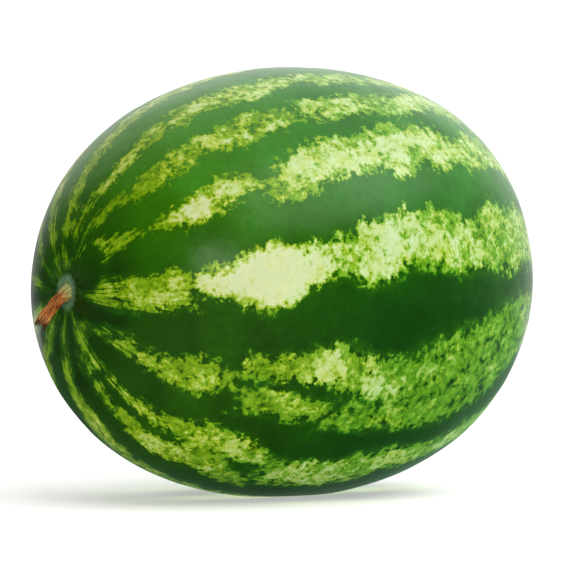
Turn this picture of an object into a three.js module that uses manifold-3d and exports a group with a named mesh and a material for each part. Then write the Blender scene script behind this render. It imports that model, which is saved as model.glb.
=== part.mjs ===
// A whole watermelon lying on its side, with the dried stub of its vine still on it.
//
// Millimetres, +Z up. The long axis lies along X: the stem end is at -X, the blossom end at +X.
// The origin is the middle of the small flat spot that the fruit rests on.

import * as THREE from 'three';
import { mergeVertices } from 'three/addons/utils/BufferGeometryUtils.js';
import Module from 'manifold-3d';

// Fruit: half its length, and its radius half way along
const HALF_LENGTH = 151;
const GIRTH_RADIUS = 125.4;
// The blossom end is a little fuller than the stem end, and both shoulders fill out past an ellipse
const TAPER = 0.029;
const FULLNESS = 0.12;
// The long axis climbs slightly towards the blossom end: rise per millimetre of length
const AXIS_RISE = 0.027;
// The fruit is flattened by this much where it bears on the ground
const SPOT_SAG = 2.2;
// Shallow hollows round the stem and at the blossom scar: depth in the middle, and how wide they fade
const STEM_HOLLOW = { depth: 4.0, reach: 17 };
const BLOSSOM_HOLLOW = { depth: 2.5, reach: 12 };
const FRUIT_RINGS = 38;
const FRUIT_SIDES = 60;

// Stub: its middle line runs straight out of the hollow and then droops. Offsets from the hollow's floor
const STUB_ROOT_INSIDE = 3;
const STUB_ELBOW = { out: 8.5, down: 2.5 };
const STUB_TIP = { out: 19.5, down: 19.5 };
const STUB_NECK_RADIUS = 3.6;
const STUB_FOOT_RADIUS = 6.2;
const STUB_FOOT_FADE = 0.16;
const STUB_TIP_SWELL = 0.5;
const STUB_RIDGES = 5;
const STUB_RIDGE_DEPTH = 0.09;
const STUB_STEPS = 14;
const STUB_SIDES = 30;

// Clearance between the stub's foot and the fruit's skin
const CLEARANCE = 0.3;

const wasm = await Module();
wasm.setup();

// A three.js geometry as a manifold solid: shared corners merged, and the slivers left at the poles dropped
function solidOf(geometry) {
  const bare = geometry.clone();
  bare.deleteAttribute('normal');
  bare.deleteAttribute('uv');
  const merged = mergeVertices(bare, 1e-3);
  const corners = merged.index.array;
  const kept = [];
  for (let i = 0; i < corners.length; i += 3) {
    const [a, b, c] = corners.slice(i, i + 3);
    if (a !== b && b !== c && c !== a) kept.push(a, b, c);
  }
  return new wasm.Manifold(new wasm.Mesh({
    numProp: 3,
    vertProperties: new Float32Array(merged.attributes.position.array),
    triVerts: new Uint32Array(kept),
  }));
}

function geometryOf(solid) {
  const mesh = solid.getMesh();
  const geometry = new THREE.BufferGeometry();
  geometry.setAttribute('position', new THREE.BufferAttribute(mesh.vertProperties, 3));
  geometry.setIndex(new THREE.BufferAttribute(mesh.triVerts, 1));
  geometry.computeVertexNormals();
  return geometry;
}

// How far a hollow pulls the skin in, at a distance from the long axis
function dent(hollow, radius) {
  return hollow.depth * Math.exp(-((radius / hollow.reach) ** 2));
}

// One point of the fruit's outline: turn runs from 0 at the stem to pi at the blossom scar
function outlinePoint(turn) {
  const along = -Math.cos(turn);
  const radius = GIRTH_RADIUS * Math.sin(turn) * (1 + TAPER * along + FULLNESS * along ** 2);
  const hollows = along < 0 ? dent(STEM_HOLLOW, radius) : -dent(BLOSSOM_HOLLOW, radius);
  return new THREE.Vector2(radius, HALF_LENGTH * along + hollows);
}

// The grown body: the outline turned about the long axis, then sheared so that the axis climbs
function grownBody() {
  const outline = [];
  for (let ring = 0; ring <= FRUIT_RINGS; ring += 1) {
    outline.push(outlinePoint(Math.PI * ring / FRUIT_RINGS));
  }
  outline[0].x = 0;
  outline[FRUIT_RINGS].x = 0;
  const body = new THREE.LatheGeometry(outline, FRUIT_SIDES);
  body.rotateZ(-Math.PI / 2);
  body.applyMatrix4(new THREE.Matrix4().makeShear(0, AXIS_RISE, 0, 0, 0, 0));
  return body;
}

// Where the underside is lowest: the taper moves it from half way along to one side, the climb to the other
const lowestX = HALF_LENGTH * (TAPER - AXIS_RISE * HALF_LENGTH / GIRTH_RADIUS) / (1 - 2 * FULLNESS);

// The body stood on the ground: its lowest point goes to the origin, and then down by the sag
const body = grownBody();
body.computeBoundingBox();
const lift = -body.boundingBox.min.z - SPOT_SAG;
body.translate(-lowestX, 0, lift);

// The floor of the stem hollow, where the long axis leaves the body
const poleX = -HALF_LENGTH + STEM_HOLLOW.depth;
const stemPole = new THREE.Vector3(poleX - lowestX, 0, AXIS_RISE * poleX + lift);

// Everything above the ground, as a block larger than the fruit
function aboveGround() {
  const side = 4 * HALF_LENGTH;
  const block = new THREE.BoxGeometry(side, side, side);
  block.translate(0, 0, side / 2);
  return block;
}

function makeFruit() {
  const flattened = solidOf(body).intersect(solidOf(aboveGround()));
  const skin = new THREE.MeshStandardMaterial({ color: 0x2f6b22, roughness: 0.4, metalness: 0 });
  const mesh = new THREE.Mesh(geometryOf(flattened), skin);
  mesh.name = 'fruit';
  return mesh;
}

// The stub's radius at a fraction of its length and an angle round it
function stubRadius(fraction, angle) {
  const foot = (STUB_FOOT_RADIUS - STUB_NECK_RADIUS) * Math.exp(-((fraction / STUB_FOOT_FADE) ** 2));
  const swell = STUB_TIP_SWELL * fraction ** 3;
  const ridge = 1 + STUB_RIDGE_DEPTH * Math.cos(STUB_RIDGES * angle);
  return (STUB_NECK_RADIUS + foot + swell) * ridge;
}

// A closed cylinder bent along the stub's middle line, and cut back from the fruit's skin
function makeStem() {
  const line = new THREE.CubicBezierCurve3(
    stemPole.clone().add(new THREE.Vector3(STUB_ROOT_INSIDE, 0, 0)),
    stemPole,
    stemPole.clone().add(new THREE.Vector3(-STUB_ELBOW.out, 0, -STUB_ELBOW.down)),
    stemPole.clone().add(new THREE.Vector3(-STUB_TIP.out, 0, -STUB_TIP.down)),
  );
  const sideways = new THREE.Vector3(0, 1, 0);
  const geometry = new THREE.CylinderGeometry(1, 1, 1, STUB_SIDES, STUB_STEPS);
  const position = geometry.attributes.position;
  const point = new THREE.Vector3();
  for (let i = 0; i < position.count; i += 1) {
    point.fromBufferAttribute(position, i);
    const fraction = point.y + 0.5;
    const angle = Math.atan2(point.z, point.x);
    const reach = Math.hypot(point.x, point.z) * stubRadius(fraction, angle);
    const upwards = new THREE.Vector3().crossVectors(sideways, line.getTangent(fraction));
    line.getPoint(fraction, point);
    point.addScaledVector(sideways, reach * Math.cos(angle));
    point.addScaledVector(upwards, reach * Math.sin(angle));
    position.setXYZ(i, point.x, point.y, point.z);
  }
  const skinWithClearance = solidOf(body).translate([-CLEARANCE, 0, 0]);
  const stub = solidOf(geometry).subtract(skinWithClearance);
  const bark = new THREE.MeshStandardMaterial({ color: 0x8a5a2c, roughness: 0.85, metalness: 0 });
  const mesh = new THREE.Mesh(geometryOf(stub), bark);
  mesh.name = 'stem';
  return mesh;
}

const group = new THREE.Group();
group.add(makeFruit(), makeStem());

export default group;
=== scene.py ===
import math

import bpy
import numpy as np
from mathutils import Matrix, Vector


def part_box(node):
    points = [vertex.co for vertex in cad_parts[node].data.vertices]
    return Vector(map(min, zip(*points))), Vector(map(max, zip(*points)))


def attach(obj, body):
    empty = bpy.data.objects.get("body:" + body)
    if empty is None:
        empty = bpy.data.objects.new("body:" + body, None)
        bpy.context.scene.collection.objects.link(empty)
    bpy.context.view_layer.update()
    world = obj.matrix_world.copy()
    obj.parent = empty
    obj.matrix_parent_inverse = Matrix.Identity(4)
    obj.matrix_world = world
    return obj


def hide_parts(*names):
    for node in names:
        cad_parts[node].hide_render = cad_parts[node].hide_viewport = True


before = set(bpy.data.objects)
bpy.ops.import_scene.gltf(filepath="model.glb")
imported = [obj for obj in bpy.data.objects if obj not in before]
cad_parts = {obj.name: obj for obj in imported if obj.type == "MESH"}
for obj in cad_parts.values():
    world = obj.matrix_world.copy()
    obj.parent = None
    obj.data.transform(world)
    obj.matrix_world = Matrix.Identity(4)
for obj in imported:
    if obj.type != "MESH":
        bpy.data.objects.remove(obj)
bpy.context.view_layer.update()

# ---------------------------------------------------------------------------
# Sizes and places, in metres. The fruit lies along X with its stem end at -X, and rests on z = 0.
# ---------------------------------------------------------------------------

MM = 0.001

# The grown body, as the solid part has it
HALF_LENGTH = 151 * MM
GIRTH_RADIUS = 125.4 * MM
TAPER = 0.029
FULLNESS = 0.12
AXIS_RISE = 0.027
STEM_HOLLOW_DEPTH = 4.0 * MM
STEM_HOLLOW_REACH = 17 * MM
BLOSSOM_HOLLOW_DEPTH = 2.5 * MM
BLOSSOM_HOLLOW_REACH = 12 * MM
FRUIT_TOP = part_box("fruit")[1][2]
MIDDLE_X = HALF_LENGTH * (AXIS_RISE * HALF_LENGTH / GIRTH_RADIUS - TAPER) / (1 - 2 * FULLNESS)
MIDDLE_Z = FRUIT_TOP - GIRTH_RADIUS
STEM_POLE = Vector((MIDDLE_X - HALF_LENGTH + STEM_HOLLOW_DEPTH, 0,
                    MIDDLE_Z - AXIS_RISE * (HALF_LENGTH - STEM_HOLLOW_DEPTH)))
BLOSSOM_POLE = Vector((MIDDLE_X + HALF_LENGTH - BLOSSOM_HOLLOW_DEPTH, 0,
                       MIDDLE_Z + AXIS_RISE * (HALF_LENGTH - BLOSSOM_HOLLOW_DEPTH)))

# The middle of the pale spot underneath, where the fruit lay on the soil
SOIL_SPOT = Vector((MIDDLE_X, 12 * MM, 0))

# How finely the rind and the stub are meshed
RIND_SIDES = 384
RIND_RINGS = 250
STUB_POINTS = 48
CORE_SIDES = 72
FIBRE_SIDES = 7

# Node kinds that the trees use most
MATH = "ShaderNodeMath"
VECTOR_MATH = "ShaderNodeVectorMath"
NOISE = "ShaderNodeTexNoise"
RANGE = "ShaderNodeMapRange"
MIX = "ShaderNodeMix"
RAMP = "ShaderNodeValToRGB"
SEPARATE = "ShaderNodeSeparateXYZ"
COMBINE = "ShaderNodeCombineXYZ"
SET_POSITION = "GeometryNodeSetPosition"


# ---------------------------------------------------------------------------
# Helpers
# ---------------------------------------------------------------------------

def linear(hex_colour):
    """An sRGB hex colour as linear RGBA."""
    channels = [int(hex_colour[i:i + 2], 16) / 255 for i in (1, 3, 5)]
    return [c / 12.92 if c <= 0.04045 else ((c + 0.055) / 1.055) ** 2.4 for c in channels] + [1.0]


def add(tree, kind, *values, out=0, stops=(), inputs=None, **settings):
    """Adds a node with its settings, its ramp's colour stops, and its inputs, each a value or a link:
    values fill the first inputs in order, and inputs names others. Gives the output called out."""
    made = tree.nodes.new(kind)
    for name, value in settings.items():
        setattr(made, name, value)
    for _ in stops[2:]:
        made.color_ramp.elements.new(1.0)
    for i, (position, colour) in enumerate(stops):
        made.color_ramp.elements[i].position = position
        made.color_ramp.elements[i].color = linear(colour)
    for name, value in [*enumerate(values), *(inputs or {}).items()]:
        if isinstance(value, bpy.types.NodeSocket):
            tree.links.new(value, made.inputs[name])
        else:
            made.inputs[name].default_value = value
    return made.outputs[out] if len(made.outputs) else made


def new_tree(name, sizes):
    """An empty Geometry Nodes tree with a named input for each size, and the sockets that give them."""
    tree = bpy.data.node_groups.new(name, "GeometryNodeTree")
    for size in sizes:
        tree.interface.new_socket(name=size, in_out="INPUT", socket_type="NodeSocketFloat")
    tree.interface.new_socket(name="Geometry", in_out="OUTPUT", socket_type="NodeSocketGeometry")
    return tree, tree.nodes.new("NodeGroupInput").outputs


def finish_tree(tree, geometry, material):
    realized = add(tree, "GeometryNodeRealizeInstances", geometry)
    finished = add(tree, "GeometryNodeSetMaterial", realized, inputs={"Material": material})
    add(tree, "NodeGroupOutput", finished)


def link_to_scene(name, data):
    made = bpy.data.objects.new(name, data)
    bpy.context.scene.collection.objects.link(made)
    return made


def grow(name, tree, sizes):
    """A piece whose plain mesh is what the tree makes with these sizes."""
    holder = link_to_scene(name + "_holder", bpy.data.meshes.new(name + "_holder"))
    modifier = holder.modifiers.new("tree", "NODES")
    modifier.node_group = tree
    for socket in tree.interface.items_tree:
        if socket.in_out == "INPUT":
            modifier[socket.identifier] = float(sizes[socket.name])
    evaluated = holder.evaluated_get(bpy.context.evaluated_depsgraph_get())
    mesh = bpy.data.meshes.new_from_object(evaluated)
    mesh.name = name
    bpy.data.objects.remove(holder)
    return link_to_scene(name, mesh)


def points_of(mesh):
    points = np.empty(len(mesh.vertices) * 3)
    mesh.vertices.foreach_get("co", points)
    return points.reshape(-1, 3)


def store(mesh, name, values):
    """Keeps one number, or one vector, for each vertex of the mesh."""
    is_vector = values.ndim == 2
    attribute = mesh.attributes.new(name, "FLOAT_VECTOR" if is_vector else "FLOAT", "POINT")
    attribute.data.foreach_set("vector" if is_vector else "value", values.ravel())


# ---------------------------------------------------------------------------
# The rind's shape: a ball drawn out along X by a tree
# ---------------------------------------------------------------------------

RIND_SIZES = {
    "Half Length": HALF_LENGTH,
    "Girth Radius": GIRTH_RADIUS,
    "Taper": TAPER,
    "Fullness": FULLNESS,
    "Axis Rise": AXIS_RISE,
    "Middle X": MIDDLE_X,
    "Middle Z": MIDDLE_Z,
    "Stem Hollow Depth": STEM_HOLLOW_DEPTH,
    "Stem Hollow Reach": STEM_HOLLOW_REACH,
    "Blossom Hollow Depth": BLOSSOM_HOLLOW_DEPTH,
    "Blossom Hollow Reach": BLOSSOM_HOLLOW_REACH,
    "Lump Height": 1.0 * MM,
    "Lump Size": 52 * MM,
    "Dimple Height": 0.2 * MM,
    "Dimple Size": 8 * MM,
    "Collar Height": 0.9 * MM,
    "Collar Radius": 7.5 * MM,
    "Collar Width": 3.0 * MM,
    "Scar Height": 0.7 * MM,
    "Scar Radius": 4.0 * MM,
    "Scar Width": 2.0 * MM,
    "Furrow Depth": 0.22 * MM,
    "Furrow Count": 17,
    "Furrow Start": 4.5 * MM,
    "Furrow End": 21 * MM,
    "Bearing Softness": 0.8 * MM,
    "Seed": 4,
}


def rind_tree(skin):
    tree, size = new_tree("rind_shape", RIND_SIZES)
    ball = add(tree, "GeometryNodeMeshUVSphere", RIND_SIDES, RIND_RINGS, 1.0)
    ball_place = add(tree, "GeometryNodeInputPosition")
    ball_y, ball_z, along = add(tree, SEPARATE, ball_place).node.outputs

    # The outline: a tapered ellipse with full shoulders, drawn in at both ends
    tapered = add(tree, MATH, along, size["Taper"], 1.0, operation="MULTIPLY_ADD")
    along_squared = add(tree, MATH, along, along, operation="MULTIPLY")
    filled = add(tree, MATH, along_squared, size["Fullness"], tapered, operation="MULTIPLY_ADD")
    radius = add(tree, MATH, filled, size["Girth Radius"], operation="MULTIPLY")
    y = add(tree, MATH, ball_y, radius, operation="MULTIPLY")
    z = add(tree, MATH, ball_z, radius, operation="MULTIPLY")
    off_axis = add(tree, VECTOR_MATH, add(tree, COMBINE, 0.0, y, z), out="Value", operation="LENGTH")
    x = add(tree, MATH, along, size["Half Length"], operation="MULTIPLY")
    for end, side, inward in (("Stem", "LESS_THAN", 1.0), ("Blossom", "GREATER_THAN", -1.0)):
        ratio = add(tree, MATH, off_axis, size[end + " Hollow Reach"], operation="DIVIDE")
        squared = add(tree, MATH, ratio, 2.0, operation="POWER")
        power = add(tree, MATH, squared, -1.0, operation="MULTIPLY")
        fade = add(tree, MATH, power, operation="EXPONENT")
        dent = add(tree, MATH, fade, size[end + " Hollow Depth"], operation="MULTIPLY")
        this_end = add(tree, MATH, along, 0.0, operation=side)
        signed = add(tree, MATH, this_end, inward, operation="MULTIPLY")
        x = add(tree, MATH, dent, signed, x, operation="MULTIPLY_ADD")
    climbed = add(tree, MATH, x, size["Axis Rise"], z, operation="MULTIPLY_ADD")
    middle = add(tree, COMBINE, size["Middle X"], 0.0, size["Middle Z"])
    egg = add(tree, VECTOR_MATH, add(tree, COMBINE, x, y, climbed), middle, operation="ADD")
    smooth = add(tree, SET_POSITION, ball, inputs={"Position": egg})

    # A raised ring at each end, the corky collar round the stem and the blossom's scar, and furrows
    # that run out of the collar
    place = add(tree, "GeometryNodeInputPosition")
    offset = add(tree, VECTOR_MATH, place, middle, operation="SUBTRACT")
    beside, across, above = add(tree, SEPARATE, offset).node.outputs
    drop = add(tree, MATH, size["Axis Rise"], -1.0, operation="MULTIPLY")
    level = add(tree, MATH, beside, drop, above, operation="MULTIPLY_ADD")
    from_axis = add(tree, COMBINE, 0.0, across, level)
    reach = add(tree, VECTOR_MATH, from_axis, out="Value", operation="LENGTH")
    swelling = 0.0
    for ring, side in (("Collar", "LESS_THAN"), ("Scar", "GREATER_THAN")):
        from_ring = add(tree, MATH, reach, size[ring + " Radius"], operation="SUBTRACT")
        ratio = add(tree, MATH, from_ring, size[ring + " Width"], operation="DIVIDE")
        squared = add(tree, MATH, ratio, ratio, operation="MULTIPLY")
        power = add(tree, MATH, squared, -1.0, operation="MULTIPLY")
        this_end = add(tree, MATH, beside, 0.0, operation=side)
        height = add(tree, MATH, this_end, size[ring + " Height"], operation="MULTIPLY")
        swelling = add(tree, MATH, add(tree, MATH, power, operation="EXPONENT"), height, swelling,
                       operation="MULTIPLY_ADD")
    angle = add(tree, MATH, across, level, operation="ARCTAN2")
    wave = add(tree, MATH, add(tree, MATH, angle, size["Furrow Count"], operation="MULTIPLY"),
               operation="COSINE")
    fade = add(tree, RANGE, reach, size["Furrow Start"], size["Furrow End"], 1.0, 0.0,
               interpolation_type="SMOOTHSTEP")
    at_stem = add(tree, MATH, beside, 0.0, operation="LESS_THAN")
    fade = add(tree, MATH, fade, at_stem, operation="MULTIPLY")
    depth = add(tree, MATH, fade, size["Furrow Depth"], operation="MULTIPLY")
    swelling = add(tree, MATH, wave, depth, swelling, operation="MULTIPLY_ADD")

    # Soft lumps and fine dimples all over
    for kind, detail in (("Lump", 1.0), ("Dimple", 2.0)):
        per_metre = add(tree, MATH, 1.0, size[kind + " Size"], operation="DIVIDE")
        noise = add(tree, NOISE, noise_dimensions="4D", inputs={
            "Vector": place, "W": size["Seed"], "Scale": per_metre, "Detail": detail})
        signed = add(tree, MATH, noise, 2.0, -1.0, operation="MULTIPLY_ADD")
        swelling = add(tree, MATH, signed, size[kind + " Height"], swelling, operation="MULTIPLY_ADD")
    outwards = add(tree, VECTOR_MATH, add(tree, "GeometryNodeInputNormal"), operation="SCALE",
                   inputs={"Scale": swelling})
    swollen = add(tree, SET_POSITION, smooth, inputs={"Offset": outwards})

    # The underside is pressed flat where the fruit bears on the ground
    final_x, final_y, final_z = add(tree, SEPARATE, place).node.outputs
    borne = add(tree, MATH, final_z, 0.0, size["Bearing Softness"], operation="SMOOTH_MAX")
    pressed = add(tree, COMBINE, final_x, final_y, borne)
    resting = add(tree, SET_POSITION, swollen, inputs={"Position": pressed})
    shaded = add(tree, "GeometryNodeSetShadeSmooth", resting)
    finish_tree(tree, shaded, skin)
    return tree


# ---------------------------------------------------------------------------
# Where the pale stripes lie
# ---------------------------------------------------------------------------

# Each stripe is a row of stations from the stem end to the blossom end: how far round from the
# stem in degrees, the stripe's two edges in degrees of longitude, and how bleached its middle is,
# in tenths. Longitude 0 is the crest, 90 the side towards -Y, 180 the underside.
STRIPES = {
    "crest": [(4, -14, 4, 3), (20, -14, 0, 4), (40, -10, 0, 4), (60, -8, 1, 4), (90, -6, 3, 6),
              (120, -7, 3, 5), (150, -8, 4, 3), (172, -12, 4, 1)],
    "near_crest": [(14, 6, 12, 3), (25, 9, 18, 4), (30, 12, 22, 4), (40, 13, 22, 4), (60, 14, 23, 5),
                   (67, 16, 26, 5), (80, 16, 24, 5), (100, 17, 24, 4), (120, 14, 24, 4),
                   (150, 10, 20, 2)],
    "shoulder_root": [(11, 29, 36, 3), (15, 30, 41, 3), (19, 43, 54, 3), (23, 51, 61, 3)],
    "shoulder_high_start": [(15, 22, 27, 1), (24, 27, 35, 1), (33, 31, 45, 2), (40, 32, 43, 3),
                            (45, 31, 43, 3), (50, 32, 40, 2)],
    "shoulder_high": [(51, 32, 40, 5), (56, 33, 44, 5), (62, 31, 42, 4), (70, 32, 41, 4),
                      (74, 34, 37, 2)],
    "shoulder_high_far": [(75, 33, 39, 3), (79, 31, 42, 5), (90, 31, 40, 5), (97, 32, 42, 3),
                          (104, 30, 39, 5), (112, 25, 36, 5), (130, 24, 36, 4), (150, 26, 38, 2),
                          (170, 26, 38, 1)],
    "shoulder": [(18, 49, 62, 3), (26, 53, 60, 3), (34, 57, 61, 3), (38, 55, 64, 7), (45, 53, 65, 9),
                 (50, 52, 62, 6), (56, 53, 60, 3), (59, 57, 62, 3), (63, 53, 65, 4), (69, 49, 63, 6),
                 (75, 46, 60, 6), (82, 48, 60, 7), (87, 46, 59, 6), (91, 45, 62, 7), (98, 45, 57, 5),
                 (103, 44, 59, 7), (109, 46, 57, 5), (114, 46, 58, 4), (118, 43, 55, 5),
                 (126, 40, 53, 4), (145, 42, 54, 3), (170, 44, 56, 1)],
    "broadside_root": [(7, 95, 104, 3), (11, 91, 100, 3), (15, 80, 101, 3), (22, 80, 101, 4),
                       (30, 80, 100, 5), (36, 80, 98, 5), (40, 84, 97, 4)],
    "broadside": [(39, 84, 91, 6), (44, 82, 91, 9), (50, 79, 94, 10), (57, 76, 97, 10),
                  (62, 78, 93, 10), (68, 78, 88, 8), (74, 76, 86, 5), (79, 73, 91, 6), (84, 72, 89, 8),
                  (90, 71, 85, 6), (97, 70, 86, 5), (103, 73, 88, 6), (109, 73, 87, 5),
                  (114, 67, 86, 4), (121, 69, 87, 4), (130, 66, 85, 4), (148, 68, 84, 3),
                  (170, 70, 86, 1)],
    "flank_root": [(12, 131, 138, 3), (18, 121, 132, 3), (25, 117, 129, 3), (33, 117, 128, 4),
                   (40, 115, 129, 4), (46, 114, 128, 3), (51, 117, 121, 2)],
    "flank_upper_arm": [(53, 112, 117, 3), (60, 109, 118, 4), (66, 107, 116, 5), (72, 104, 117, 5),
                        (77, 107, 119, 5), (84, 109, 121, 4), (93, 108, 122, 3)],
    "flank_lower_arm": [(55, 122, 129, 2), (62, 119, 129, 4), (69, 121, 129, 4), (73, 123, 127, 2)],
    "flank": [(75, 125, 130, 2), (81, 121, 130, 2), (86, 125, 130, 2), (91, 112, 129, 2),
              (98, 104, 130, 2), (106, 103, 129, 1), (112, 100, 127, 1), (120, 97, 124, 1),
              (130, 95, 115, 1), (150, 98, 116, 2), (172, 100, 120, 1)],
    "belly_upper_arm": [(6, 150, 158, 3), (16, 147, 159, 3), (25, 148, 155, 4), (35, 145, 151, 4),
                        (45, 142, 151, 4), (50, 138, 152, 4), (60, 138, 149, 4), (68, 145, 149, 2)],
    "belly_lower_arm": [(17, 158, 166, 3), (30, 159, 166, 4), (42, 157, 166, 4), (50, 150, 166, 4),
                        (55, 148, 162, 4), (62, 154, 164, 3), (68, 158, 162, 1)],
    "belly": [(69, 148, 157, 4), (75, 145, 158, 5), (84, 142, 156, 5), (92, 139, 153, 4),
              (99, 138, 148, 4), (110, 138, 147, 4), (130, 132, 146, 4), (150, 134, 148, 3),
              (170, 136, 148, 1)],
    "keel": [(6, 180, 191, 3), (14, 184, 194, 3), (24, 189, 197, 2), (34, 179, 198, 4),
             (48, 180, 192, 3), (62, 176, 190, 4), (78, 172, 190, 6), (104, 171, 188, 6),
             (128, 168, 182, 4), (160, 170, 184, 1)],
    "far_belly_root": [(8, 212, 222, 3), (24, 216, 230, 3), (42, 214, 228, 3), (52, 218, 224, 2)],
    "far_belly": [(56, 212, 220, 3), (64, 208, 226, 5), (80, 206, 222, 7), (90, 210, 219, 4),
                  (98, 205, 226, 5), (118, 204, 222, 4), (140, 206, 220, 3), (170, 208, 220, 1)],
    "far_flank_root": [(7, 240, 249, 3), (20, 242, 257, 3), (36, 244, 260, 4), (50, 246, 258, 4),
                       (58, 249, 256, 2)],
    "far_flank": [(61, 247, 252, 3), (69, 243, 259, 7), (80, 241, 257, 9), (88, 242, 256, 7),
                  (96, 246, 254, 4), (103, 240, 260, 5), (118, 238, 257, 4), (138, 240, 255, 3),
                  (170, 242, 256, 1)],
    "far_side_root": [(9, 270, 278, 3), (20, 272, 283, 3), (28, 274, 282, 2)],
    "far_side": [(31, 274, 282, 3), (40, 270, 286, 5), (49, 269, 288, 8), (58, 273, 286, 6),
                 (66, 276, 284, 3), (75, 271, 291, 4), (92, 269, 294, 5), (106, 274, 289, 3),
                 (116, 270, 288, 4), (134, 270, 286, 3), (170, 272, 286, 1)],
    "far_shoulder_root": [(8, 297, 306, 3), (24, 298, 312, 3), (40, 300, 312, 4), (54, 299, 313, 4),
                          (64, 302, 309, 2)],
    "far_shoulder": [(68, 301, 306, 2), (76, 297, 313, 5), (86, 296, 318, 7), (98, 300, 317, 5),
                     (108, 303, 312, 3), (116, 297, 316, 4), (136, 300, 314, 3), (168, 300, 312, 1)],
    "behind_crest_root": [(5, 326, 338, 3), (20, 321, 336, 3), (36, 322, 334, 4), (50, 325, 338, 4),
                          (56, 329, 336, 2)],
    "behind_crest": [(60, 328, 334, 3), (70, 324, 341, 5), (84, 327, 339, 6), (95, 330, 337, 3),
                     (104, 324, 342, 5), (124, 324, 338, 4), (146, 327, 338, 3), (168, 326, 336, 1)],
}

# Length of skin that one degree round from the stem covers, on average
MM_PER_TURN_DEGREE = math.radians(HALF_LENGTH + GIRTH_RADIUS) / 2 / MM
# How softly neighbouring stripes join, and how blunt a stripe's end is, in millimetres
JOIN_SOFTNESS = 1.5
END_BLUNTNESS = 1.5
# Skin further outside a stripe than this, in millimetres, counts as this far
FURTHEST_OUTSIDE = 25


def stations_of(points):
    """How far round from the stem and the longitude, in degrees, and the distance off the long axis."""
    x = points[:, 0] - MIDDLE_X
    y = points[:, 1]
    z = points[:, 2] - MIDDLE_Z - AXIS_RISE * x
    off_axis = np.hypot(y, z)
    turn = np.degrees(np.arctan2(off_axis / GIRTH_RADIUS, -x / HALF_LENGTH))
    return turn, np.degrees(np.arctan2(-y, z)), off_axis


def mark_stripes(mesh):
    """Keeps for each vertex how many millimetres inside a stripe it lies, how bleached the stripe is
    there, and a grain vector in metres that runs along the fruit's meridians."""
    turn, longitude, off_axis = stations_of(points_of(mesh))
    mm_per_degree = np.radians(off_axis) / MM
    weight = np.zeros(len(turn))
    bleach = np.zeros(len(turn))
    for stations in STRIPES.values():
        turns, left, right, tenths = np.array(stations, dtype=float).T
        middle = np.interp(turn, turns, (left + right) / 2)
        half = np.interp(turn, turns, (right - left) / 2)
        aside = np.abs((longitude - middle + 180) % 360 - 180)
        inside = (half - aside) * mm_per_degree
        from_ends = np.minimum(turn - turns[0], turns[-1] - turn) * MM_PER_TURN_DEGREE + END_BLUNTNESS
        depth = np.maximum(np.minimum(inside, from_ends), -FURTHEST_OUTSIDE)
        share = np.exp(depth / JOIN_SOFTNESS)
        weight += share
        bleach += share * np.interp(turn, turns, tenths) / 10
    store(mesh, "stripe_depth", JOIN_SOFTNESS * np.log(weight))
    store(mesh, "stripe_bleach", bleach / weight)
    along = turn * MM_PER_TURN_DEGREE * MM
    angle = np.radians(longitude)
    grain = np.stack([along, GIRTH_RADIUS * np.sin(angle), GIRTH_RADIUS * np.cos(angle)], axis=1)
    store(mesh, "grain", grain)


# ---------------------------------------------------------------------------
# Materials
# ---------------------------------------------------------------------------

# The patterns in the skin: how long each is along the fruit and round it, in millimetres, its octaves of
# detail and its roughness. They are a stripe's lobes, the feathering of its edges, barbs that cross the
# edges, streaks that run out of the stem, the patches, blotches, mottling and flecks in a stripe, and slow
# changes of tone. The flecks are drawn a little coarser than the skin's own, so that they show.
SKIN_PATTERNS = (
    ("lobes", 15, 15, 2, 0.5),
    ("feathers", 5.5, 5.5, 4, 0.7),
    ("barbs", 3.2, 12, 3, 0.6),
    ("streaks", 34, 3.2, 3, 0.6),
    ("patches", 14, 14, 2, 0.5),
    ("blotches", 8, 8, 2, 0.5),
    ("mottling", 3.6, 4.6, 3, 0.7),
    ("flecks", 1.8, 1.8, 1, 0.5),
    ("tones", 30, 30, 2, 0.5),
)

# How far the patterns move a stripe's edge, and how far they break into the stripe and into its bleached
# heart, in millimetres
EDGE_MOVES = {"lobes": 7.0, "feathers": 6.0, "barbs": 9.0}
STRIPE_BREAKS = {"blotches": 7.0, "mottling": 10.0, "flecks": 3.0}
HEART_BREAKS = {"patches": 13.0, "mottling": 13.0, "flecks": 4.0}

# Stripes from green fringe to bleached heart, near the stem and further along, then the green between
GOLDEN_STRIPE = [
    (0.0, "#173f06"), (0.12, "#2f6107"), (0.25, "#598609"), (0.38, "#80a40f"), (0.5, "#99b61f"),
    (0.62, "#adc342"), (0.75, "#bece6c"), (0.88, "#ccd694"), (1.0, "#d4dcac")]
COOL_STRIPE = [
    (0.0, "#184c0e"), (0.12, "#2a690f"), (0.25, "#468a16"), (0.38, "#68a122"), (0.5, "#86b33a"),
    (0.62, "#9dc063"), (0.75, "#b0cc84"), (0.88, "#bdd49a"), (1.0, "#c6d9a6")]
GROUND_NEAR_STEM = [(0.0, "#20420c"), (0.3, "#2f5e0a"), (0.6, "#3e780e"), (1.0, "#539428")]
GROUND_BEYOND = [(0.0, "#12380a"), (0.3, "#184f08"), (0.6, "#23660e"), (1.0, "#388826")]

# Marks on the skin: the middle, the radius, how softly the rim fades, how much it covers, and the colour
SKIN_MARKS = {
    "corky_collar": (STEM_POLE, 9.5 * MM, 2 * MM, 0.75, "#78997a"),
    "ring_round_scar": (BLOSSOM_POLE, 7 * MM, 2 * MM, 0.8, "#24401a"),
    "blossom_scar": (BLOSSOM_POLE, 4 * MM, 1 * MM, 0.9, "#8f7c52"),
    "soil_spot": (SOIL_SPOT, 34 * MM, 18 * MM, 0.32, "#d6cc86"),
}

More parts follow.
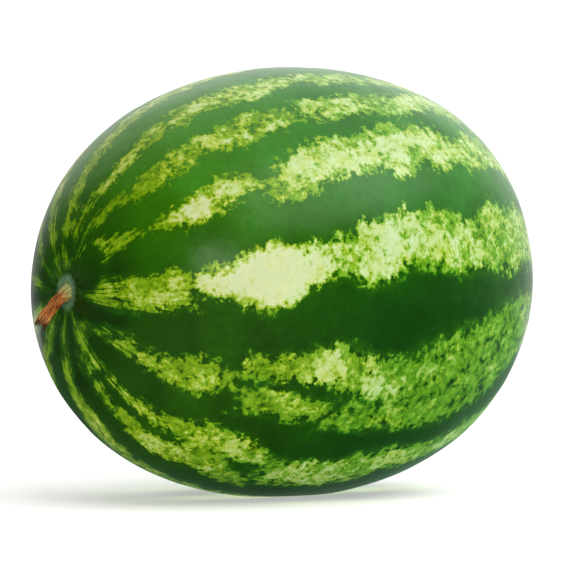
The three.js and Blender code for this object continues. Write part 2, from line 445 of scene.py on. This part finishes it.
# Dried vine from its cracks to its raised fibres: woody, and still green at the foot
WOODY_FIBRES = [(0.0, "#4a2310"), (0.35, "#8a4a1c"), (0.65, "#b9732f"), (1.0, "#d9ad6c")]
GREEN_FOOT = [(0.0, "#7d8a52"), (0.6, "#b3b673"), (1.0, "#d0c88e")]
TORN_END = "#3b1c0e"


def new_material(name):
    material = bpy.data.materials.new(name)
    material.use_nodes = True
    material.node_tree.nodes.clear()
    return material, material.node_tree


def waxed_rind():
    """Watermelon rind, grown and unpolished: a thin natural wax gives it broad soft highlights.
    Under it the skin is dark green, with pale stripes that are ragged, veined and mottled."""
    material, tree = new_material("waxed_rind")
    place = add(tree, "ShaderNodeTexCoord", out="Object")
    grain = add(tree, "ShaderNodeAttribute", out="Vector", attribute_name="grain")
    depth = add(tree, "ShaderNodeAttribute", out="Fac", attribute_name="stripe_depth")
    bleach = add(tree, "ShaderNodeAttribute", out="Fac", attribute_name="stripe_bleach")

    patterns = {}
    for name, along, around, detail, roughness in SKIN_PATTERNS:
        stretched = add(tree, "ShaderNodeMapping", place if along == around else grain, inputs={
            "Scale": (1 / (along * MM), 1 / (around * MM), 1 / (around * MM))})
        value = add(tree, NOISE, stretched, noise_dimensions="4D", inputs={
            "W": float(len(patterns)), "Scale": 1.0, "Detail": float(detail), "Roughness": roughness})
        patterns[name] = add(tree, MATH, value, 2.0, -1.0, operation="MULTIPLY_ADD")

    # Round the stem the skin is streaked along the fruit, and towards the blossom end it is barbed across
    x, _, height = add(tree, SEPARATE, place).node.outputs
    near_stem = add(tree, RANGE, x, -0.65 * HALF_LENGTH, -1.0 * HALF_LENGTH)
    near_blossom = add(tree, RANGE, x, -0.1 * HALF_LENGTH, 0.6 * HALF_LENGTH, 0.25, 1.0)
    streaks = add(tree, MATH, patterns["streaks"], 0.7, operation="MULTIPLY")
    feathers = add(tree, MIX, near_stem, inputs={2: patterns["feathers"], 3: streaks})
    close_to_stem = add(tree, MATH, near_stem, 3.0, operation="POWER")
    mottling = add(tree, MIX, close_to_stem, inputs={2: patterns["mottling"], 3: streaks})
    barbs = add(tree, MATH, patterns["barbs"], near_blossom, operation="MULTIPLY")
    local = {**patterns, "feathers": feathers, "mottling": mottling, "barbs": barbs}

    # How far inside a ragged stripe, in millimetres. Deep inside it stays at a cap, so that blotches
    # can still break the stripe there, and the cap is higher where the stripe is more bleached.
    edge = add(tree, MATH, near_stem, -2.5, depth, operation="MULTIPLY_ADD")
    for name, move in EDGE_MOVES.items():
        edge = add(tree, MATH, local[name], move, edge, operation="MULTIPLY_ADD")
    cap = add(tree, MATH, bleach, 6.0, 2.5, operation="MULTIPLY_ADD")
    capped = add(tree, MATH, edge, cap, operation="MINIMUM")
    unsteady = add(tree, RANGE, bleach, 0.8, 1.0, 1.0, 0.6)
    favour = add(tree, MATH, bleach, 7.0, -3.9, operation="MULTIPLY_ADD")
    heart = add(tree, MATH, capped, favour, operation="ADD")
    broken = []
    for whole, breaks in ((capped, STRIPE_BREAKS), (heart, HEART_BREAKS)):
        noise = 0.0
        for name, strength in breaks.items():
            noise = add(tree, MATH, local[name], strength, noise, operation="MULTIPLY_ADD")
        broken.append(add(tree, MATH, noise, unsteady, whole, operation="MULTIPLY_ADD"))
    broken_stripe, broken_heart = broken

    # From that how pale, from 0 to 1, in three steps: a green fringe, the stripe itself, and its bleached
    # heart. Each comes between two depths, and adds a share, and a further share where it is bleached.
    level = 0.0
    for reach, outer, inner, share, bleached_share in (
            (edge, -8.0, -1.0, 0.12, 0.0), (broken_stripe, -2.2, 2.2, 0.18, 0.16),
            (broken_heart, 1.0, 8.5, 0.18, 0.36)):
        amount = add(tree, MATH, bleach, bleached_share, share, operation="MULTIPLY_ADD")
        inside = add(tree, RANGE, reach, outer, inner, interpolation_type="SMOOTHSTEP")
        level = add(tree, MATH, inside, amount, level, operation="MULTIPLY_ADD")

    # A stripe's tone is uneven too, and calm where it is wholly bleached
    near = add(tree, RANGE, edge, -5.0, 2.0, 0.0, 0.42, interpolation_type="SMOOTHSTEP")
    uneven = add(tree, MATH, unsteady, near, operation="MULTIPLY")
    texture = add(tree, MATH, patterns["blotches"], 0.6, mottling, operation="MULTIPLY_ADD")
    texture = add(tree, MATH, patterns["flecks"], 0.2, texture, operation="MULTIPLY_ADD")
    level = add(tree, MATH, texture, uneven, level, operation="MULTIPLY_ADD", use_clamp=True)

    # Stripes turn from golden green near the stem to a cooler, creamier green
    golden = add(tree, RAMP, level, stops=GOLDEN_STRIPE)
    cool = add(tree, RAMP, level, stops=COOL_STRIPE)
    ripe = add(tree, RANGE, x, -0.75 * HALF_LENGTH, -0.1 * HALF_LENGTH)
    ripe = add(tree, MATH, patterns["tones"], 0.5, ripe, operation="MULTIPLY_ADD", use_clamp=True)
    spotted = add(tree, MATH, patterns["blotches"], 1.0, add(tree, MATH, ripe, 0.8, operation="MULTIPLY"),
                  operation="MULTIPLY_ADD", use_clamp=True)
    stripe = add(tree, MIX, spotted, out=2, data_type="RGBA", inputs={6: golden, 7: cool})

    # Between the stripes the green is dull by the stem, and lighter high up and darker low down
    # The change with height is painted light and shade: painted light on the crown and painted shade low
    # down
    tone = add(tree, RANGE, height, 0.1, 0.2, 0.27, 0.78, interpolation_type="SMOOTHSTEP")
    tone = add(tree, MATH, close_to_stem, -0.35, tone, operation="MULTIPLY_ADD")
    tone = add(tree, MATH, patterns["tones"], 0.35, tone, operation="MULTIPLY_ADD")
    tone = add(tree, MATH, mottling, 0.22, tone, operation="MULTIPLY_ADD")
    near_ground = add(tree, RAMP, tone, stops=GROUND_NEAR_STEM)
    far_ground = add(tree, RAMP, tone, stops=GROUND_BEYOND)
    ground = add(tree, MIX, ripe, out=2, data_type="RGBA", inputs={6: near_ground, 7: far_ground})
    body = add(tree, MIX, 1.0, out=2, data_type="RGBA", blend_type="LIGHTEN",
               inputs={6: ground, 7: stripe})

    # A grey green collar of cork round the stem, a small tan scar in a dark ring where the blossom fell,
    # and a faint creamy spot underneath, where the fruit lay on the soil
    for point, rim, softness, share, colour in SKIN_MARKS.values():
        away = add(tree, VECTOR_MATH, place, tuple(point), out="Value", operation="DISTANCE")
        away = add(tree, MATH, patterns["feathers"], softness, away, operation="MULTIPLY_ADD")
        covered = add(tree, RANGE, away, rim + softness, rim - softness, 0.0, share,
                      interpolation_type="SMOOTHSTEP")
        body = add(tree, MIX, covered, out=2, data_type="RGBA", inputs={6: body, 7: linear(colour)})

    # Fine bumps about a millimetre wide scatter the highlights
    bumps = add(tree, NOISE, place, inputs={"Scale": 1 / (1.6 * MM), "Detail": 2.0})
    normal = add(tree, "ShaderNodeBump", inputs={
        "Strength": 0.25, "Distance": 0.12 * MM, "Height": bumps})
    shader = add(tree, "ShaderNodeBsdfPrincipled", inputs={
        "Base Color": body, "Roughness": 0.28, "IOR": 1.4, "Specular IOR Level": 0.43, "Normal": normal})
    add(tree, "ShaderNodeOutputMaterial", shader)
    return material


def dried_vine():
    """Dried vine, torn off and withered: matt, corky at the foot, woody fibres towards the torn end."""
    material, tree = new_material("dried_vine")
    along = add(tree, "ShaderNodeAttribute", out="Fac", attribute_name="along")
    angle = add(tree, "ShaderNodeAttribute", out="Fac", attribute_name="around")
    # Fibres about half a millimetre wide
    sine = add(tree, MATH, angle, operation="SINE")
    cosine = add(tree, MATH, angle, operation="COSINE")
    vector = add(tree, COMBINE, along, sine, cosine)
    stretched = add(tree, "ShaderNodeMapping", vector, inputs={"Scale": (3.0, 7.0, 7.0)})
    fibres = add(tree, NOISE, stretched, inputs={"Scale": 1.0, "Detail": 3.0, "Roughness": 0.6})
    contrast = add(tree, RANGE, fibres, 0.36, 0.64)
    fibre_colour = add(tree, RAMP, contrast, stops=WOODY_FIBRES)
    green = add(tree, RAMP, contrast, stops=GREEN_FOOT)
    wood = add(tree, RANGE, along, 0.12, 0.34, interpolation_type="SMOOTHSTEP")
    bark = add(tree, MIX, wood, out=2, data_type="RGBA", inputs={6: green, 7: fibre_colour})
    torn = add(tree, RANGE, along, 0.8, 1.0)
    bark = add(tree, MIX, torn, out=2, data_type="RGBA", inputs={6: bark, 7: linear(TORN_END)})
    normal = add(tree, "ShaderNodeBump", inputs={
        "Strength": 0.6, "Distance": 0.25 * MM, "Height": fibres})
    shader = add(tree, "ShaderNodeBsdfPrincipled", inputs={
        "Base Color": bark, "Roughness": 0.82, "IOR": 1.5, "Normal": normal})
    add(tree, "ShaderNodeOutputMaterial", shader)
    return material


# ---------------------------------------------------------------------------
# The stub of vine: a ridged core that follows a curve, with a bundle of fibres round it
# ---------------------------------------------------------------------------

STUB_SIZES = {
    "Root Inside": 3.0 * MM,
    "Elbow Out": 8.5 * MM,
    "Elbow Down": 2.5 * MM,
    "Tip Out": 19.5 * MM,
    "Tip Down": 19.5 * MM,
    "Neck Radius": 3.1 * MM,
    "Foot Radius": 6.4 * MM,
    "Foot Fade": 0.17,
    "Tip Swell": 0.6 * MM,
    "Core Thinnest": 0.62,
    "Core Ridges": 0.7,
    "Core End": 0.9,
    "Fibre Radius": 0.42 * MM,
    "Fibre Count": 34,
    "Fibre Start": 0.12,
    "Fibre Jitter": 0.1,
    "Fibre Innermost": 0.62,
    "Fibre Outermost": 1.02,
    "Shortest Fibre": 0.84,
    "Wander": 1.4 * MM,
    "Bends Per Metre": 260,
    "Seed": 7,
}


def stub_tree(bark):
    tree, size = new_tree("stub_shape", STUB_SIZES)
    pole = add(tree, COMBINE, *STEM_POLE)
    root_offset = add(tree, COMBINE, size["Root Inside"], 0.0, 0.0)
    root = add(tree, VECTOR_MATH, pole, root_offset, operation="ADD")
    elbow_offset = add(tree, COMBINE, size["Elbow Out"], 0.0, size["Elbow Down"])
    elbow = add(tree, VECTOR_MATH, pole, elbow_offset, operation="SUBTRACT")
    tip_offset = add(tree, COMBINE, size["Tip Out"], 0.0, size["Tip Down"])
    tip = add(tree, VECTOR_MATH, pole, tip_offset, operation="SUBTRACT")
    bezier = add(tree, "GeometryNodeCurvePrimitiveBezierSegment", STUB_POINTS, root, pole, elbow, tip)
    line = add(tree, "GeometryNodeResampleCurve", bezier, inputs={"Count": STUB_POINTS})

    # Radius: a flared foot, a slim neck, and a slight swelling at the torn end
    part = add(tree, "GeometryNodeSplineParameter")
    ratio = add(tree, MATH, part, size["Foot Fade"], operation="DIVIDE")
    squared = add(tree, MATH, ratio, ratio, operation="MULTIPLY")
    power = add(tree, MATH, squared, -1.0, operation="MULTIPLY")
    flare = add(tree, MATH, size["Foot Radius"], size["Neck Radius"], operation="SUBTRACT")
    foot = add(tree, MATH, add(tree, MATH, power, operation="EXPONENT"), flare, size["Neck Radius"],
               operation="MULTIPLY_ADD")
    cubed = add(tree, MATH, part, 3.0, operation="POWER")
    radius = add(tree, MATH, cubed, size["Tip Swell"], foot, operation="MULTIPLY_ADD")
    line = add(tree, "GeometryNodeStoreNamedAttribute", line, inputs={"Name": "along", "Value": part})
    line = add(tree, "GeometryNodeStoreNamedAttribute", line, inputs={"Name": "reach", "Value": radius})
    reach = add(tree, "GeometryNodeInputNamedAttribute", "reach")

    # The core: a round section with uneven ridges
    section = add(tree, "GeometryNodeCurvePrimitiveCircle", inputs={
        "Resolution": CORE_SIDES, "Radius": 1.0})
    place = add(tree, "GeometryNodeInputPosition")
    section_x, section_y, _ = add(tree, SEPARATE, place).node.outputs
    angle = add(tree, MATH, section_y, section_x, operation="ARCTAN2")
    section = add(tree, "GeometryNodeStoreNamedAttribute", section, inputs={
        "Name": "around", "Value": angle})
    ridges = add(tree, NOISE, place, noise_dimensions="4D", inputs={
        "W": size["Seed"], "Scale": 3.2, "Detail": 1.0})
    depth = add(tree, MATH, ridges, size["Core Ridges"], size["Core Thinnest"], operation="MULTIPLY_ADD")
    ridged = add(tree, VECTOR_MATH, place, operation="SCALE", inputs={"Scale": depth})
    section = add(tree, SET_POSITION, section, inputs={"Position": ridged})
    core_line = add(tree, "GeometryNodeTrimCurve", line, inputs={"End": size["Core End"]})
    core = add(tree, "GeometryNodeCurveToMesh", core_line, section, inputs={
        "Scale": reach, "Fill Caps": True})

    # The fibres: copies of the middle line moved out to the core's skin, each ending where it tore
    copies = add(tree, "GeometryNodeDuplicateElements", line, domain="SPLINE",
                 inputs={"Amount": size["Fibre Count"]})
    number = copies.node.outputs["Duplicate Index"]
    share = add(tree, MATH, number, size["Fibre Count"], operation="DIVIDE")
    least = add(tree, MATH, size["Fibre Jitter"], -1.0, operation="MULTIPLY")
    jitter = add(tree, "FunctionNodeRandomValue", out=1, inputs={
        2: least, 3: size["Fibre Jitter"], "ID": number, "Seed": 1})
    theta = add(tree, MATH, share, 2 * math.pi, jitter, operation="MULTIPLY_ADD")
    copies = add(tree, "GeometryNodeStoreNamedAttribute", copies, inputs={
        "Name": "around", "Value": theta})
    theta = add(tree, "GeometryNodeInputNamedAttribute", "around")
    out_by = add(tree, "FunctionNodeRandomValue", out=1, inputs={
        2: size["Fibre Innermost"], 3: size["Fibre Outermost"], "ID": number, "Seed": 2})
    out_by = add(tree, MATH, out_by, reach, operation="MULTIPLY")
    sideways = add(tree, COMBINE, 0.0, 1.0, 0.0)
    heading = add(tree, "GeometryNodeInputTangent")
    upwards = add(tree, VECTOR_MATH, sideways, heading, operation="CROSS_PRODUCT")
    aside = add(tree, VECTOR_MATH, sideways, operation="SCALE",
                inputs={"Scale": add(tree, MATH, theta, operation="COSINE")})
    raised = add(tree, VECTOR_MATH, upwards, operation="SCALE",
                 inputs={"Scale": add(tree, MATH, theta, operation="SINE")})
    outwards = add(tree, VECTOR_MATH, aside, raised, operation="ADD")
    outwards = add(tree, VECTOR_MATH, outwards, operation="SCALE", inputs={"Scale": out_by})
    wander = add(tree, NOISE, add(tree, "GeometryNodeInputPosition"), out="Color", noise_dimensions="4D",
                 inputs={"W": number, "Scale": size["Bends Per Metre"], "Detail": 0.0})
    wander = add(tree, VECTOR_MATH, wander, (0.5, 0.5, 0.5), operation="SUBTRACT")
    wander = add(tree, VECTOR_MATH, wander, operation="SCALE", inputs={"Scale": size["Wander"]})
    offset = add(tree, VECTOR_MATH, outwards, wander, operation="ADD")
    strands = add(tree, SET_POSITION, copies, inputs={"Offset": offset})
    torn_at = add(tree, "FunctionNodeRandomValue", out=1, inputs={
        2: size["Shortest Fibre"], 3: 1.0, "ID": number, "Seed": 3})
    strands = add(tree, "GeometryNodeTrimCurve", strands, inputs={
        "Start": size["Fibre Start"], "End": torn_at})
    thickness = add(tree, RANGE, part, 0.9, 1.0, 1.0, 0.35)
    thickness = add(tree, MATH, thickness, size["Fibre Radius"], operation="MULTIPLY")
    round_section = add(tree, "GeometryNodeCurvePrimitiveCircle", inputs={
        "Resolution": FIBRE_SIDES, "Radius": 1.0})
    fibres = add(tree, "GeometryNodeCurveToMesh", strands, round_section, inputs={
        "Scale": thickness, "Fill Caps": True})

    both = add(tree, "GeometryNodeJoinGeometry")
    for piece in (core, fibres):
        tree.links.new(piece, both.node.inputs[0])
    shaded = add(tree, "GeometryNodeSetShadeSmooth", both)
    finish_tree(tree, shaded, bark)
    return tree


# ---------------------------------------------------------------------------
# Pieces
# ---------------------------------------------------------------------------

def make_rind():
    piece = grow("melon_rind", rind_tree(waxed_rind()), RIND_SIZES)
    mark_stripes(piece.data)
    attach(piece, "root")
    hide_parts("fruit")


def make_stub():
    piece = grow("vine_stub", stub_tree(dried_vine()), STUB_SIZES)
    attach(piece, "root")
    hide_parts("stem")


# ---------------------------------------------------------------------------
# Floor, camera and light
# ---------------------------------------------------------------------------

AZIMUTH = math.radians(-36)
ELEVATION = math.radians(1)
DISTANCE = 1.878
VIEW_WIDTH = 336.2 * MM
AIM_RIGHT = 2.3 * MM
AIM_DOWN = 3.3 * MM

towards_camera = Vector((math.sin(AZIMUTH) * math.cos(ELEVATION),
                         -math.cos(AZIMUTH) * math.cos(ELEVATION),
                         math.sin(ELEVATION)))
rightwards = Vector((math.cos(AZIMUTH), math.sin(AZIMUTH), 0))
upwards = towards_camera.cross(rightwards)
aim = Vector((MIDDLE_X, 0, MIDDLE_Z)) + rightwards * AIM_RIGHT - upwards * AIM_DOWN


def make_camera():
    data = bpy.data.cameras.new("camera")
    data.lens = data.sensor_width * DISTANCE / VIEW_WIDTH
    camera = link_to_scene("camera", data)
    camera.location = aim + towards_camera * DISTANCE
    camera.rotation_euler = towards_camera.to_track_quat("Z", "Y").to_euler()
    bpy.context.scene.camera = camera


def make_softbox(name, towards, distance, size, brightness):
    """A softbox that faces the fruit from a direction given as right, up and nearer to the camera. Its
    brightness is in watts per square metre and steradian."""
    width, height = size
    data = bpy.data.lights.new(name, "AREA")
    data.shape = "RECTANGLE"
    data.size = width
    data.size_y = height
    data.energy = brightness * math.pi * width * height
    lamp = link_to_scene(name, data)
    right, up, near = towards
    direction = (rightwards * right + upwards * up + towards_camera * near).normalized()
    lamp.location = aim + direction * distance
    lamp.rotation_euler = direction.to_track_quat("Z", "Y").to_euler()


def make_room():
    """White to the camera; for light, nearly dark but for a glow behind the fruit, high on the right."""
    dimmest, brightest = 0.03, 1.3
    glow_edge, glow_middle = 0.25, 0.95
    world = bpy.data.worlds.new("studio")
    bpy.context.scene.world = world
    world.use_nodes = True
    tree = world.node_tree
    tree.nodes.clear()
    direction = add(tree, "ShaderNodeTexCoord", out="Generated")
    glow_at = (rightwards * 0.3 + upwards * 0.75 - towards_camera * 0.6).normalized()
    nearness = add(tree, VECTOR_MATH, direction, tuple(glow_at), out="Value", operation="DOT_PRODUCT")
    glow = add(tree, RANGE, nearness, glow_edge, glow_middle, dimmest, brightest)
    seen = add(tree, "ShaderNodeLightPath", out="Is Camera Ray")
    strength = add(tree, MIX, seen, inputs={2: glow, 3: 1.0})
    sky = add(tree, "ShaderNodeBackground", linear("#ffffff"), strength)
    add(tree, "ShaderNodeOutputWorld", sky)


def make_flag():
    """A pale green card laid under the fruit, which only its gloss sees: dark in front, so that the
    floor's reflection doesn't veil the green, and paler behind on the right, where it lights the rim."""
    height = 0.5 * MM
    back, front, side = -0.6, 1.4, 1.2
    darkest, palest = 0.03, 0.65
    dark_in_front, pale_behind = 0.09, -0.06
    full_on_right, faint_on_left = 0.0, -0.2
    faintness = 0.2
    ahead = Vector((towards_camera.x, towards_camera.y, 0)).normalized()
    corners = [ahead * out + rightwards * aside + Vector((0, 0, height))
               for out, aside in ((back, -side), (front, -side), (front, side), (back, side))]
    mesh = bpy.data.meshes.new("flag")
    mesh.from_pydata(corners, [], [range(4)])
    material, tree = new_material("graded_card")
    place = add(tree, "ShaderNodeTexCoord", out="Object")
    out = add(tree, VECTOR_MATH, place, tuple(ahead), out="Value", operation="DOT_PRODUCT")
    aside = add(tree, VECTOR_MATH, place, tuple(rightwards), out="Value", operation="DOT_PRODUCT")
    behind = add(tree, RANGE, out, dark_in_front, pale_behind)
    on_right = add(tree, RANGE, aside, full_on_right, faint_on_left, 1.0, faintness,
                   interpolation_type="SMOOTHSTEP")
    paleness = add(tree, MATH, behind, on_right, operation="MULTIPLY")
    tone = add(tree, MATH, paleness, palest, darkest, operation="MULTIPLY_ADD")
    add(tree, "ShaderNodeOutputMaterial", add(tree, "ShaderNodeEmission", linear("#b8e0c4"), tone))
    mesh.materials.append(material)
    flag = link_to_scene("flag", mesh)
    flag.visible_camera = False
    flag.visible_diffuse = False
    flag.visible_shadow = False


def make_floor():
    """A pale matt light table, which fades out into the white room where the camera sees it."""
    reach = 1.6
    sides = 96
    fade_start, fade_end = 0.14, 0.8
    light_through = 0.36
    angles = [2 * math.pi * i / sides for i in range(sides)]
    rim = [(reach * math.cos(angle), reach * math.sin(angle), 0) for angle in angles]
    mesh = bpy.data.meshes.new("floor")
    mesh.from_pydata(rim, [], [range(sides)])
    material, tree = new_material("matt_light_table")
    place = add(tree, "ShaderNodeTexCoord", out="Object")
    far = add(tree, VECTOR_MATH, place, out="Value", operation="LENGTH")
    fade = add(tree, RANGE, far, fade_start, fade_end, interpolation_type="SMOOTHSTEP")
    seen = add(tree, "ShaderNodeLightPath", out="Is Camera Ray")
    fade = add(tree, MATH, fade, seen, operation="MULTIPLY")
    paper = add(tree, "ShaderNodeBsdfDiffuse", linear("#e8e8e6"))
    lit = add(tree, "ShaderNodeEmission", inputs={"Strength": light_through})
    table = add(tree, "ShaderNodeAddShader", paper, lit)
    clear = add(tree, "ShaderNodeBsdfTransparent")
    mixed = add(tree, "ShaderNodeMixShader", fade, table, clear)
    add(tree, "ShaderNodeOutputMaterial", mixed)
    mesh.materials.append(material)
    link_to_scene("floor", mesh)


bpy.context.scene.view_settings.view_transform = "Standard"
bpy.context.scene.view_settings.look = "Medium High Contrast"
make_camera()
make_room()
make_softbox("key_softbox", towards=(0.37, 0.72, 0.5), distance=1.9, size=(1.8, 1.3), brightness=2.2)
make_softbox("side_softbox", towards=(0.72, 0.68, 0.14), distance=1.9, size=(0.9, 0.7), brightness=1.8)
make_softbox("front_softbox", towards=(-0.15, 0.23, 0.95), distance=2.2, size=(0.85, 0.45), brightness=6)
make_floor()
make_flag()
make_rind()
make_stub()
